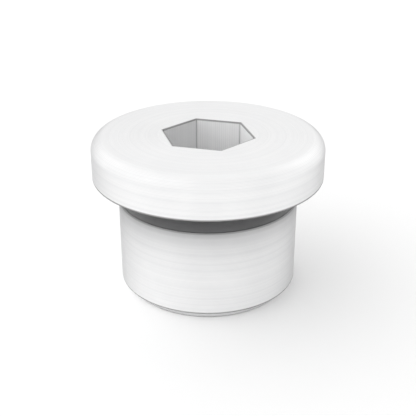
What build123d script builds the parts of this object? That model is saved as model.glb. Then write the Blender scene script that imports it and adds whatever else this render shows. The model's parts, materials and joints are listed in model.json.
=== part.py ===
from build123d import *
from math import radians, tan
import os

# Hex socket screw plug, one piece turned from bar: a round collar with a hexagon
# socket in its top, an undercut beneath the collar, and a plain shank whose end is
# chamfered so that it enters its hole easily.
#
# Origin: centre of the shank's end face, which the plug stands on.
# +Z: up the plug's axis, out of the socket's mouth. Two corners of the hexagon lie on X.
# All sizes are in millimetres.

# Collar: the head that seals against the housing
collar_dia = 23.0  # outside diameter
collar_height = 4.0  # sealing face to top face
collar_top_radius = 1.2  # rounding of the top edge

# Shank: plain, at the outside diameter of the M18 x 1.5 thread that it stands for
shank_dia = 18.0
shank_length = 12.0  # end face to the collar's sealing face
end_chamfer = 1.0  # 45 degree lead-in at the end face

# Undercut: the square-shouldered neck between collar and shank
undercut_height = 2.36  # sealing face to the shank's shoulder
undercut_dia = 12.8  # diameter of the neck
undercut_root_radius = 0.4  # left in both inner corners by the grooving tool

# Hexagon socket: drilled first, then broached
socket_across_flats = 8.0
socket_depth = 7.5  # depth of the full hexagon
broach_stock = 0.1  # left on each flat by the drill for the broach to cut
drill_point_angle = 118.0  # of the cone that the drill leaves below the hexagon

# Levels along the axis, measured up from the end face
shoulder_level = shank_length - undercut_height
top_level = shank_length + collar_height
socket_floor_level = top_level - socket_depth

# Cone at the bottom of the drilled hole
drill_radius = socket_across_flats / 2 - broach_stock
drill_point_height = drill_radius / tan(radians(drill_point_angle / 2))

with BuildPart() as plug_body:
    # Shank: a plain bar from the end face to the underside of the collar
    with BuildSketch() as shank_section:
        Circle(shank_dia / 2)
    extrude(amount=shank_length)
    end_edge = plug_body.edges().filter_by(GeomType.CIRCLE).sort_by(Axis.Z)[0]
    chamfer(end_edge, length=end_chamfer)

    # Collar: stands out over the shank, with a flat sealing face and a rounded top edge
    with BuildSketch(Plane.XY.offset(shank_length)) as collar_section:
        Circle(collar_dia / 2)
    extrude(amount=collar_height)
    top_edge = plug_body.edges().filter_by(GeomType.CIRCLE).sort_by(Axis.Z)[-1]
    fillet(top_edge, radius=collar_top_radius)

    # Undercut: one turn of the grooving tool, with its two nose corners rounded
    with BuildSketch(Plane.XZ) as undercut_section:
        with BuildLine() as undercut_outline:
            neck_line = FilletPolyline(
                (shank_dia / 2, shoulder_level),
                (undercut_dia / 2, shoulder_level),
                (undercut_dia / 2, shank_length),
                (shank_dia / 2, shank_length),
                radius=undercut_root_radius,
            )
            Line(neck_line @ 1, neck_line @ 0)
        make_face()
    revolve(axis=Axis.Z, mode=Mode.SUBTRACT)

    # Socket: the broached hexagon, open at the collar's top, and the drill's cone below it
    with BuildSketch(Plane.XY.offset(top_level)) as socket_section:
        RegularPolygon(socket_across_flats / 2, side_count=6, major_radius=False)
    extrude(amount=-socket_depth, mode=Mode.SUBTRACT)
    with Locations((0, 0, socket_floor_level)):
        Cone(
            bottom_radius=0,
            top_radius=drill_radius,
            height=drill_point_height,
            align=(Align.CENTER, Align.CENTER, Align.MAX),
            mode=Mode.SUBTRACT,
        )

plug_body.part.label = "plug_body"

os.makedirs("parts", exist_ok=True)
export_step(plug_body.part, "parts/plug_body.step")
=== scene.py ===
import json
import math
import bpy
import numpy as np
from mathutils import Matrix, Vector

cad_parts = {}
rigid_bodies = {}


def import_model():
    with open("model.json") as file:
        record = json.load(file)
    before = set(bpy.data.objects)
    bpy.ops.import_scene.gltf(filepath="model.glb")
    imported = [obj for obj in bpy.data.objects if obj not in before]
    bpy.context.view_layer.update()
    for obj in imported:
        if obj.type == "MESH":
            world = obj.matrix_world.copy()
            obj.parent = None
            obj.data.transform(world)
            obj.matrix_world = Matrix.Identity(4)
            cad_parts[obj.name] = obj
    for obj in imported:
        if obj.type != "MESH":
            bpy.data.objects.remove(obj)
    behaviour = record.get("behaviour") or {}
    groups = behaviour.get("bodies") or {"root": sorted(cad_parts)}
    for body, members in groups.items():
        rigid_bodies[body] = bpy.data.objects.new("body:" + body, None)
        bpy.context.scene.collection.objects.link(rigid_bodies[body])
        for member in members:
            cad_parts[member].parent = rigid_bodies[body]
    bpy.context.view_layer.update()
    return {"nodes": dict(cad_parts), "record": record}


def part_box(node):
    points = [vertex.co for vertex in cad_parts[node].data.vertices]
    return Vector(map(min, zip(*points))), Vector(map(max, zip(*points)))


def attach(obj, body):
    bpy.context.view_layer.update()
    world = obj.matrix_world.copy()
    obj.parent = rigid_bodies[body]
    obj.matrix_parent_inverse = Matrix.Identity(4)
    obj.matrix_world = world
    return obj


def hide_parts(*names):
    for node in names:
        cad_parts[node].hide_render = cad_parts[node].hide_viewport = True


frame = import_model()
print("frame loaded: one plug,", len(frame["nodes"]), "node")

mm = 0.001
mounts = {mount["name"]: mount for mount in frame["record"]["mounts"]}


# plug body: one closed surface, from the end face round to the bottom of the socket

plug = {
    "node": "plug_body",
    "slot": "plated_steel",
    "collarRounding": 1.2 * mm,  # top edge of the collar
    "neckRadius": 6.4 * mm,  # floor of the undercut
    "neckRounding": 0.4 * mm,  # inner corners of the undercut
    "socketApothem": 4.0 * mm,  # centre to flat
    "socketDepth": 7.5 * mm,
    "drillRadius": 3.9 * mm,
    "drillAngle": 118.0,  # degrees, the whole cone
    "drillStep": 0.001 * mm,  # how far the drill's rim lies below the hexagon's floor
    "edgeBreak": 0.11 * mm,  # rounding that the tool and tumbling leave on outer edges
    "mouthBreak": 0.07 * mm,  # the same on the socket's mouth
    "cornerBreak": 0.10 * mm,  # where the socket's flats meet
    "arcSteps": 6,  # segments in a small rounding
    "bigArcSteps": 20,  # segments in a rounding larger than bigArcFrom
    "bigArcFrom": 0.6 * mm,
    "supportGaps": [0.03 * mm, 0.12 * mm, 0.35 * mm],  # from a rounding to the rows beside it
    "supportShare": 0.45,  # such rows stay within this share of the way to the next corner
    "flatSteps": 14,  # columns on half a flat of the hexagon
    "cornerSteps": 6,  # columns round one corner of the hexagon
    "faceRows": [(0.25, 0), (0.50, 0.15), (0.75, 0.6)],  # way in to the socket, share of hexagon
    "hexagonRing": 3,  # width of the ring of full hexagon outside the mouth, in mouth breaks
    "shankRows": 14,  # rows that carry the fading painted shade down the shank
    "shankDull": 0.85,  # painted shade on the shank beside the undercut, where the collar would shade it
    "shankFade": 1.9 * mm,  # how far down the shank that goes
    "socketDull": 0.05,  # painted shade at the socket's floor
    "cornerDull": 0.8,  # painted shade along the lines where the socket's flats meet
    "flatEnds": 0.02 * mm,  # how far inside the mouth and the floor the broached flats end
    "wornReach": 0.03 * mm,  # how far wear goes beyond a rounding
}


def plugCorners():
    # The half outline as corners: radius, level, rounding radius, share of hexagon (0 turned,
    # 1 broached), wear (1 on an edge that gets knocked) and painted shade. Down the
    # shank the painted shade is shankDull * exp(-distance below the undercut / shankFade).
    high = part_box(plug["node"])[1]
    seal = mounts["sealing_face"]["pos_m"][2]
    shankRadius = mounts["shank"]["dims"]["r_mm"] * mm
    shankHalf = mounts["shank"]["dims"]["length_mm"] * mm / 2
    chamfer = mounts["shank"]["pos_m"][2] - shankHalf  # as wide as it is high
    shoulder = mounts["shank"]["pos_m"][2] + shankHalf
    edge, neck, mouth = plug["edgeBreak"], plug["neckRounding"], plug["mouthBreak"]

    # painted shade down the shank: darkest beside the undercut, where the collar would shade it, fading
    # lower down
    shankLevels = np.linspace(chamfer, shoulder, plug["shankRows"])[1:-1]
    fadingShade = plug["shankDull"] * np.exp((shankLevels - shoulder) / plug["shankFade"])
    shank = [
        (0.0, 0.0, 0, 0, 0, 0),
        (shankRadius - chamfer, 0.0, edge, 0, 1, 0),
        (shankRadius, chamfer, edge, 0, 1, 0),
        *[(shankRadius, level, 0, 0, 0, dull) for level, dull in zip(shankLevels, fadingShade)],
        (shankRadius, shoulder, edge, 0, 1, plug["shankDull"]),
    ]
    # the undercut carries painted shade in full (last value 1)
    undercut = [
        (plug["neckRadius"], shoulder, neck, 0, 0, 1),
        (plug["neckRadius"], seal, neck, 0, 0, 1),
    ]

    apothem = plug["socketApothem"]
    faceEdge = high.x - plug["collarRounding"]
    ways = [(faceEdge * (1 - way) + apothem * way, share) for way, share in plug["faceRows"]]
    collar = [
        (high.x, seal, edge, 0, 1, 0),
        (high.x, high.z, plug["collarRounding"], 0, 0, 0),
        *[(radius, high.z, 0, share, 0, 0) for radius, share in ways],
        (apothem + plug["hexagonRing"] * mouth, high.z, 0, 1, 0, 0),
    ]

    floor = high.z - plug["socketDepth"]
    tip = floor - plug["drillRadius"] / math.tan(math.radians(plug["drillAngle"] / 2))
    # the socket's floor and drill cone carry a little painted shade
    socket = [
        (apothem, high.z, mouth, 1, 1, 0),
        (apothem, floor, mouth, 1, 0, plug["socketDull"]),
        (plug["drillRadius"], floor - plug["drillStep"], 0, 0, 0, plug["socketDull"]),
        (0.0, tip, 0, 0, 0, plug["socketDull"]),
    ]
    return shank + undercut + collar + socket


def roundCorner(before, here, after, rounding):
    # The arc starts radius * tan(half the turn) before the corner, and its points lie at equal
    # angles: centre + radius * (sin(angle) * way in - cos(angle) * normal). Rows beside the arc,
    # before and after it, keep the flats flat.
    wayIn, wayOut = here - before, after - here
    lengthIn, lengthOut = np.linalg.norm(wayIn), np.linalg.norm(wayOut)
    inward, outward = wayIn / lengthIn, wayOut / lengthOut
    turn = math.acos(np.clip(inward @ outward, -1, 1))
    reach = rounding * math.tan(turn / 2)
    side = np.sign(inward[0] * outward[1] - inward[1] * outward[0])
    normal = side * np.array([-inward[1], inward[0]])
    centre = here - inward * reach + normal * rounding
    steps = plug["bigArcSteps"] if rounding > plug["bigArcFrom"] else plug["arcSteps"]
    angles = np.linspace(0, turn, steps + 1)
    arc = centre + rounding * (np.outer(np.sin(angles), inward) - np.outer(np.cos(angles), normal))
    gaps = [reach + gap for gap in plug["supportGaps"]]
    lead = [here - inward * gap for gap in reversed(gaps) if gap < plug["supportShare"] * lengthIn]
    tail = [here + outward * gap for gap in gaps if gap < plug["supportShare"] * lengthOut]
    return lead, arc, tail, reach


def roundedOutline(corners):
    # Rows of radius, level, share of hexagon and painted shade, with every corner rounded that has a
    # radius, the run along the outline to each row, and its wear: the largest over the knocked
    # corners of exp(-(distance beyond the rounding / wornReach) squared).
    rows, knocked = [], []
    for i, (radius, level, rounding, share, knocks, dull) in enumerate(corners):
        if rounding == 0:
            rows.append((radius, level, share, dull))
            continue
        before, here, after = (np.array(corner[:2]) for corner in corners[i - 1:i + 2])
        lead, arc, tail, reach = roundCorner(before, here, after, rounding)
        knocked.append((len(rows) + len(lead) + len(arc) // 2, reach, knocks))
        rows += [(x, z, share, dull) for x, z in [*lead, *arc, *tail]]
    rows = np.array(rows)
    run = np.concatenate([[0], np.cumsum(np.hypot(*np.diff(rows[:, :2], axis=0).T))])
    worn = np.zeros(len(rows))
    for row, reach, knocks in knocked:
        beyond = np.maximum(np.abs(run - run[row]) - reach, 0)
        worn = np.maximum(worn, knocks * np.exp(-((beyond / plug["wornReach"]) ** 2)))
    return rows, run, worn


def hexagonColumns():
    # Directions round the axis with the hexagon's distance factor in each: 1 / cos(angle from the
    # flat's middle), and a small arc where two flats meet. Corners lie at 0, 60, 120 ... degrees.
    apothem, small = plug["socketApothem"], plug["cornerBreak"]
    sixth, half = math.radians(60), math.radians(30)
    arcCentre = (apothem - small) / math.cos(half)
    arcEnd = math.atan2(small * math.sin(half), arcCentre + small * math.cos(half))
    corner = np.linspace(-arcEnd, arcEnd, plug["cornerSteps"] + 1)
    flat = np.linspace(2 * arcEnd, sixth - 2 * arcEnd, 2 * plug["flatSteps"] + 1)
    cornerReach = arcCentre * np.cos(corner) + np.sqrt(small**2 - (arcCentre * np.sin(corner)) ** 2)
    factor = np.concatenate([cornerReach / apothem, 1 / np.cos(flat - half)])
    inCorner = np.concatenate([np.ones(len(corner)), np.zeros(len(flat))])
    angles = np.concatenate([corner, flat]) + sixth * np.arange(6)[:, None]
    return angles.ravel(), np.tile(factor, 6), np.tile(inCorner, 6)


def closedFaces(height, width):
    # Quads between neighbouring rows and columns, the last column joined to the first, and a fan
    # of triangles to the single point at each end.
    column = np.arange(width)
    following = (column + 1) % width
    start = 1 + np.arange(height - 1)[:, None] * width
    nextRow = start + width
    quads = np.stack([start + column, start + following, nextRow + following, nextRow + column], -1)
    lastRow, lastPoint = 1 + (height - 1) * width, 1 + height * width
    firstFan = np.stack([0 * column, 1 + following, 1 + column], -1)
    lastFan = np.stack([0 * column + lastPoint, lastRow + column, lastRow + following], -1)
    return firstFan.tolist() + quads.reshape(-1, 4).tolist() + lastFan.tolist()


def addAttribute(mesh, name, values, first=0.0, last=0.0):
    # One number a point: the grid's own values, with those of the two end points round them.
    attribute = mesh.attributes.new(name, "FLOAT", "POINT")
    values = np.concatenate([[first], values.ravel(), [last]])
    attribute.data.foreach_set("value", values.astype(np.float32))


def makePlug():
    # Surface: radius(row, column) = outline radius * (1 - share + share * hexagon factor), turned
    # by the column's angle; the two ends on the axis are single points.
    rows, run, worn = roundedOutline(plugCorners())
    angles, factor, inCorner = hexagonColumns()
    radius, level, share, dull = rows[1:-1].T[..., None]
    reach = radius * (1 - share + share * factor)
    everywhere = np.ones_like(reach)
    grid = np.stack([reach * np.cos(angles), reach * np.sin(angles), level * everywhere], -1)
    points = np.vstack([[0, 0, rows[0, 1]], grid.reshape(-1, 3), [0, 0, rows[-1, 1]]])
    faces = closedFaces(*reach.shape)
    mesh = bpy.data.meshes.new("plugBody")
    mesh.from_pydata(points.tolist(), [], faces)
    mesh.polygons.foreach_set("use_smooth", np.ones(len(faces), bool))

    depth = rows[:, 1].max() - level
    broached = (share == 1) & (depth > plug["flatEnds"]) & (depth < plug["socketDepth"] - plug["flatEnds"])
    # painted shade also runs down the socket's inner corners, where the flats meet
    dull = np.maximum(dull * everywhere, plug["cornerDull"] * broached * inCorner)
    wallRow = grid[-3, :, :2]  # round the foot of the socket's wall
    around = np.concatenate([[0], np.cumsum(np.hypot(*np.diff(wallRow, axis=0).T))])
    profileRun = run[1:-1, None] + radius - reach  # as if the rings were round everywhere
    addAttribute(mesh, "profileRun", profileRun / mm, run[0] / mm, run[-1] / mm)
    addAttribute(mesh, "wallRun", around / mm * everywhere)
    addAttribute(mesh, "edgeWear", worn[1:-1, None] * everywhere)
    addAttribute(mesh, "broached", broached * everywhere)
    # the mask of painted shade: undercut, shank below the collar, socket floor and corners
    addAttribute(mesh, "dull", dull, 0, plug["socketDull"])
    mesh.update()
    body = bpy.data.objects.new("plugBody", mesh)
    bpy.context.scene.collection.objects.link(body)
    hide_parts(plug["node"])
    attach(body, "root")
    print("plug body:", len(points), "points,", reach.shape[0], "rows by", reach.shape[1], "columns")
    return body


# finish: satin plated steel with the marks of the tools that cut it, and painted shade in its hollows and
# grooves

steel = {
    "dullColor": (0.45, 0.45, 0.455, 1),  # painted shade: darker colour in the undercut, on the shank below it and in the socket
    "wornColor": (0.30, 0.30, 0.30, 1),  # bare darker steel where the edges are knocked
    "dullRoughness": 0.15,  # roughness added where the shade is painted
    "wornRoughness": -0.12,  # and on the knocked edges
    "roughnessSwing": 0.05,  # what bands and clouds each add or take away
    "cloudShare": 0.4,  # how much of the cloudy colour there is on the whole
    "cloudSwing": 0.25,  # what the clouds add or take away
    "bandSwing": 0.45,  # what the bands of tool marks add or take away
    "cloudSize": 3.5,  # mm
    "grainSize": 0.1,  # mm
    "grainDepth": 2.0e-6,  # metres
    "markDepth": 10.0e-6,  # metres
    "markWobble": 0.35,  # turns
    "anisotropy": 0.4,
    "turned": {
        "color": (0.93, 0.93, 0.93, 1),
        "cloudColor": (0.885, 0.888, 0.891, 1),  # where the plating is a little duller
        "grooveColor": (0.84, 0.84, 0.845, 1),  # painted shade down in the tool's fine grooves
        "metallic": 1.0,
        "roughness": 0.44,
        "grazeTint": (0.50, 0.50, 0.50, 1),  # what the metal keeps of its colour at a grazing angle
        "run": "profileRun",  # the attribute that the tool's marks run across
        "pitch": 0.12,  # mm between rings
        "grainTurn": 0.25,  # turns between the marks and the tangent round the axis
    },
    "broached": {  # the socket's flats keep a chalkier plating
        "color": (0.86, 0.86, 0.86, 1),
        "cloudColor": (0.82, 0.823, 0.826, 1),
        "grooveColor": (0.79, 0.79, 0.795, 1),
        "metallic": 0.1,
        "roughness": 0.5,
        "grazeTint": (0.95, 0.95, 0.95, 1),
        "run": "wallRun",
        "pitch": 0.22,
        "grainTurn": 0.0,
    },
}


def addNode(tree, kind, inputs=None, **settings):
    # An input is set to a value, or linked where it is given another node's output.
    node = tree.nodes.new("ShaderNode" + kind)
    for name, value in settings.items():
        setattr(node, name, value)
    for name, value in (inputs or {}).items():
        if isinstance(value, bpy.types.NodeSocket):
            tree.links.new(value, node.inputs[name])
        else:
            node.inputs[name].default_value = value
    return node


def addMath(tree, operation, *values):
    # One Math node with its values in order
    return addNode(tree, "Math", dict(enumerate(values)), operation=operation).outputs[0]


def addMix(tree, share, first, second):
    # The colour sockets of a Mix node are its inputs 6 and 7 and its output 2.
    return addNode(tree, "Mix", {0: share, 6: first, 7: second}, data_type="RGBA").outputs[2]


def addSpread(tree, value):
    # Noise, which keeps near its middle of 0.5, stretched to -1..1
    ends = {"Value": value, "From Min": 0.3, "From Max": 0.7, "To Min": -1.0, "To Max": 1.0}
    return addNode(tree, "MapRange", ends).outputs["Result"]


def newGroup(name, inputs, outputs):
    # An empty node group with number sockets, and the nodes that stand for them inside it
    tree = bpy.data.node_groups.new(name, "ShaderNodeTree")
    for label in inputs:
        tree.interface.new_socket(label, in_out="INPUT", socket_type="NodeSocketFloat")
    for label in outputs:
        tree.interface.new_socket(label, in_out="OUTPUT", socket_type="NodeSocketFloat")
    return tree, tree.nodes.new("NodeGroupInput"), tree.nodes.new("NodeGroupOutput")


toolMarks = {
    "bandsPerMark": 0.21,  # broad bands, about five marks wide
    "bandHeight": 0.6,  # beside a mark's own height of 1
    "patchesPerMetre": 260.0,  # patches where the tool cut deeper or lighter
    "grooveStart": 0.05,  # height below which painted shade in a groove starts
    "grooveFull": -0.30,  # height at which the painted shade is darkest
}


def makeToolMarks():
    # Grooves across a run measured in mm: sin(2 pi * turns) with turns = run / pitch + a wobble of
    # a fraction of a turn, in strength uneven from groove to groove and from patch to patch, on
    # broad bands.
    tree, given, result = newGroup("toolMarks", ["Run", "Pitch", "Wobble"], ["Height", "Band", "Groove"])
    turns = addMath(tree, "DIVIDE", given.outputs["Run"], given.outputs["Pitch"])
    uneven = addNode(tree, "TexNoise", {"W": turns, "Scale": 1.0, "Detail": 1.0}, noise_dimensions="1D")
    bands = addMath(tree, "MULTIPLY", turns, toolMarks["bandsPerMark"])
    broad = addNode(tree, "TexNoise", {"W": bands, "Scale": 1.0, "Detail": 2.0}, noise_dimensions="1D")
    wobbled = addMath(tree, "MULTIPLY_ADD", broad.outputs["Fac"], given.outputs["Wobble"], turns)
    wave = addMath(tree, "SINE", addMath(tree, "MULTIPLY", wobbled, 2 * math.pi))
    place = addNode(tree, "TexCoord").outputs["Object"]
    size = toolMarks["patchesPerMetre"]
    patch = addNode(tree, "TexNoise", {"Vector": place, "Scale": size, "Detail": 1.0})
    strength = addMath(tree, "MULTIPLY", uneven.outputs["Fac"], patch.outputs["Fac"])
    fine = addMath(tree, "MULTIPLY", wave, strength)
    height = addMath(tree, "MULTIPLY_ADD", broad.outputs["Fac"], toolMarks["bandHeight"], fine)
    # mask of painted shade in the low parts of the fine marks
    ends = {"Value": fine, "From Min": toolMarks["grooveStart"], "From Max": toolMarks["grooveFull"]}
    grooveShade = addNode(tree, "MapRange", ends).outputs["Result"]
    tree.links.new(height, result.inputs["Height"])
    tree.links.new(addSpread(tree, broad.outputs["Fac"]), result.inputs["Band"])
    tree.links.new(grooveShade, result.inputs["Groove"])
    return tree


def makeSatinSurface():
    # Grain is noise as fine as the grain size; cloud is noise as wide as the cloud size, both in
    # mm, and stretched to -1..1.
    tree, given, result = newGroup("satinSurface", ["Cloud Size", "Grain Size"], ["Grain", "Cloud"])
    place = addNode(tree, "TexCoord").outputs["Object"]
    grainScale = addMath(tree, "DIVIDE", 1 / mm, given.outputs["Grain Size"])
    grain = addNode(tree, "TexNoise", {"Vector": place, "Scale": grainScale, "Detail": 2.0})
    cloudScale = addMath(tree, "DIVIDE", 1 / mm, given.outputs["Cloud Size"])
    rough = {"Vector": place, "Scale": cloudScale, "Detail": 4.0, "Roughness": 0.6}
    cloud = addNode(tree, "TexNoise", rough)
    tree.links.new(grain.outputs["Fac"], result.inputs["Grain"])
    tree.links.new(addSpread(tree, cloud.outputs["Fac"]), result.inputs["Cloud"])
    return tree


def makeSteel(name, finish, marksGroup, satinGroup):
    # One cut of the same plated steel: its colour goes from plain through cloudy, painted shade in the
    # grooves and painted shade in the hollows to worn, each by its own mask, and the bump of the grain
    # lies on that of the tool's marks.
    material = bpy.data.materials.new(name)
    material.use_nodes = True
    tree = material.node_tree
    shader = tree.nodes["Principled BSDF"]
    run = addNode(tree, "Attribute", attribute_name=finish["run"]).outputs["Fac"]
    worn = addNode(tree, "Attribute", attribute_name="edgeWear").outputs["Fac"]
    dull = addNode(tree, "Attribute", attribute_name="dull").outputs["Fac"]
    sizes = {"Run": run, "Pitch": finish["pitch"], "Wobble": steel["markWobble"]}
    marks = addNode(tree, "Group", sizes, node_tree=marksGroup)
    sizes = {"Cloud Size": steel["cloudSize"], "Grain Size": steel["grainSize"]}
    satin = addNode(tree, "Group", sizes, node_tree=satinGroup)
    band, cloud = marks.outputs["Band"], satin.outputs["Cloud"]

    cloudShare = addMath(tree, "MULTIPLY_ADD", cloud, steel["cloudSwing"], steel["cloudShare"])
    cloudShare = addMath(tree, "MULTIPLY_ADD", band, steel["bandSwing"], cloudShare)
    color = addMix(tree, cloudShare, finish["color"], finish["cloudColor"])
    # painted shade: darker colour down in the fine tool grooves
    color = addMix(tree, marks.outputs["Groove"], color, finish["grooveColor"])
    # painted shade: darker colour in the undercut, below the collar and in the socket
    color = addMix(tree, dull, color, steel["dullColor"])
    color = addMix(tree, worn, color, steel["wornColor"])
    tree.links.new(color, shader.inputs["Base Color"])

    roughness = addMath(tree, "MULTIPLY_ADD", band, steel["roughnessSwing"], finish["roughness"])
    roughness = addMath(tree, "MULTIPLY_ADD", cloud, steel["roughnessSwing"], roughness)
    roughness = addMath(tree, "MULTIPLY_ADD", worn, steel["wornRoughness"], roughness)
    roughness = addMath(tree, "MULTIPLY_ADD", dull, steel["dullRoughness"], roughness)
    tree.links.new(roughness, shader.inputs["Roughness"])

    ringed = addNode(tree, "Bump", {"Distance": steel["markDepth"], "Height": marks.outputs["Height"]})
    grained = addNode(tree, "Bump", {"Distance": steel["grainDepth"], "Height": satin.outputs["Grain"]})
    tree.links.new(ringed.outputs["Normal"], grained.inputs["Normal"])
    tree.links.new(grained.outputs["Normal"], shader.inputs["Normal"])

    shader.inputs["Metallic"].default_value = finish["metallic"]
    shader.inputs["Specular Tint"].default_value = finish["grazeTint"]
    shader.inputs["Anisotropic"].default_value = steel["anisotropy"]
    shader.inputs["Anisotropic Rotation"].default_value = finish["grainTurn"]
    around = addNode(tree, "Tangent", direction_type="RADIAL", axis="Z")
    tree.links.new(around.outputs["Tangent"], shader.inputs["Tangent"])
    return material


def dressPlug(body):
    # A face is broached where all its points are, by the attribute of that name, else turned.
    marksGroup, satinGroup = makeToolMarks(), makeSatinSurface()
    for cut in ("turned", "broached"):
        body.data.materials.append(makeSteel(cut + "Steel", steel[cut], marksGroup, satinGroup))
    values = np.zeros(len(body.data.vertices), np.float32)
    body.data.attributes["broached"].data.foreach_get("value", values)
    corners = np.zeros(len(body.data.loops), np.int32)
    body.data.loops.foreach_get("vertex_index", corners)
    starts = np.zeros(len(body.data.polygons), np.int32)
    body.data.polygons.foreach_get("loop_start", starts)
    broached = np.minimum.reduceat(values[corners], starts) == 1
    body.data.polygons.foreach_set("material_index", broached.astype(np.int32))
    print("finish: turned and broached steel,", broached.sum(), "broached faces")


# stage: pale floor, white surround, soft lamps

stage = {
    "floorSize": 3.0,
    "floorColor": (0.86, 0.86, 0.86, 1),
    "floorRoughness": 0.9,
    "floorShine": 0.1,
    "nearLift": 0.135,  # glow that the camera and reflections see, which makes the pale floor white
    "farLift": 0.19,  # the same out where the lamps don't reach
    "liftReach": (0.06, 0.40),  # metres from the plug between which the glow changes
    "surroundLight": 0.89,  # what the surround gives besides its own white look
    "surroundLean": 1.0,  # how much more of it comes from one side, as from a window
    "leanFrom": (-78, 10),  # that side: azimuth from the camera's, elevation
    "lampReach": 0.30,
    "lampSize": 0.30,
    "lamps": {  # azimuth from the camera's, elevation, watts
        "key": (-60, 42, 0.040),
        "backRight": (135, 22, 0.042),
        "backLeft": (-125, 24, 0.035),
        "back": (180, 30, 0.050),
    },
}


def direction(azimuth, elevation):
    # Unit vector: azimuth turns from -Y towards +X, elevation rises from the floor, in degrees.
    a, e = math.radians(azimuth), math.radians(elevation)
    return Vector((math.sin(a) * math.cos(e), -math.cos(a) * math.cos(e), math.sin(e)))


def seenOrReflected(tree):
    # 1 for a ray from the camera or off a glossy surface, else 0
    path = addNode(tree, "LightPath")
    return addMath(tree, "MAXIMUM", path.outputs["Is Camera Ray"], path.outputs["Is Glossy Ray"])


def makeFloor():
    # One square whose glow goes from nearLift to farLift with the distance from the plug.
    half = stage["floorSize"] / 2
    corners = [(-half, -half, 0), (half, -half, 0), (half, half, 0), (-half, half, 0)]
    mesh = bpy.data.meshes.new("floor")
    mesh.from_pydata(corners, [], [(0, 1, 2, 3)])
    floor = bpy.data.objects.new("floor", mesh)
    bpy.context.scene.collection.objects.link(floor)
    material = bpy.data.materials.new("paleFloor")
    material.use_nodes = True
    mesh.materials.append(material)
    tree = material.node_tree
    shader = tree.nodes["Principled BSDF"]
    shader.inputs["Base Color"].default_value = stage["floorColor"]
    shader.inputs["Roughness"].default_value = stage["floorRoughness"]
    shader.inputs["Specular IOR Level"].default_value = stage["floorShine"]
    shader.inputs["Emission Color"].default_value = (1, 1, 1, 1)
    place = addNode(tree, "TexCoord").outputs["Object"]
    distance = addNode(tree, "VectorMath", {0: place}, operation="LENGTH").outputs["Value"]
    near, far = stage["liftReach"]
    ends = {"Value": distance, "From Min": near, "From Max": far}
    ends.update({"To Min": stage["nearLift"], "To Max": stage["farLift"]})
    glow = addNode(tree, "MapRange", ends).outputs["Result"]
    lift = addMath(tree, "MULTIPLY", seenOrReflected(tree), glow)
    tree.links.new(lift, shader.inputs["Emission Strength"])


def makeSurround():
    # Light from direction d is surroundLight * (1 + surroundLean * (d . side)), and what is seen of
    # the surround is 1, plain white.
    world = bpy.data.worlds.new("surround")
    bpy.context.scene.world = world
    world.use_nodes = True
    tree = world.node_tree
    background = tree.nodes["Background"]
    background.inputs["Color"].default_value = (1, 1, 1, 1)
    azimuth, elevation = stage["leanFrom"]
    side = direction(camera["azimuth"] + azimuth, elevation)
    toward = addNode(tree, "TexCoord").outputs["Object"]
    along = addNode(tree, "VectorMath", {0: toward, 1: side}, operation="DOT_PRODUCT").outputs["Value"]
    lean = stage["surroundLight"] * stage["surroundLean"]
    given = addMath(tree, "MULTIPLY_ADD", along, lean, stage["surroundLight"])
    seen = seenOrReflected(tree)
    unseen = addMath(tree, "SUBTRACT", 1.0, seen)
    strength = addMath(tree, "MULTIPLY_ADD", given, unseen, seen)
    tree.links.new(strength, background.inputs["Strength"])


def makeLamps():
    # Round soft lamps at one distance from the origin, which they face.
    for name, (azimuth, elevation, watts) in stage["lamps"].items():
        data = bpy.data.lights.new(name, "AREA")
        data.shape, data.size, data.energy = "DISK", stage["lampSize"], watts
        lamp = bpy.data.objects.new(name, data)
        bpy.context.scene.collection.objects.link(lamp)
        away = direction(camera["azimuth"] + azimuth, elevation)
        lamp.location = away * stage["lampReach"]
        lamp.rotation_euler = away.to_track_quat("Z", "Y").to_euler()
    print("stage: floor, surround and", len(stage["lamps"]), "lamps")


# camera

camera = {
    "azimuth": 15.0,
    "elevation": 25.28,
    "distance": 83.2 * mm,
    "aim": 7.955 * mm,  # height on the axis that it looks at
    "lens": 70.42,
    "sensor": 36.0,
    "clip": (0.005, 20.0),
}


def makeCamera():
    # It stands distance away from the aim, in the direction of its azimuth and elevation.
    data = bpy.data.cameras.new("camera")
    data.sensor_width, data.lens = camera["sensor"], camera["lens"]
    data.clip_start, data.clip_end = camera["clip"]
    holder = bpy.data.objects.new("camera", data)
    bpy.context.scene.collection.objects.link(holder)
    back = direction(camera["azimuth"], camera["elevation"])
    holder.location = Vector((0, 0, camera["aim"])) + back * camera["distance"]
    holder.rotation_euler = (-back).to_track_quat("-Z", "Y").to_euler()
    bpy.context.scene.camera = holder


body = makePlug()
dressPlug(body)
makeFloor()
makeSurround()
makeLamps()
makeCamera()
bpy.context.scene.view_settings.view_transform = "Standard"
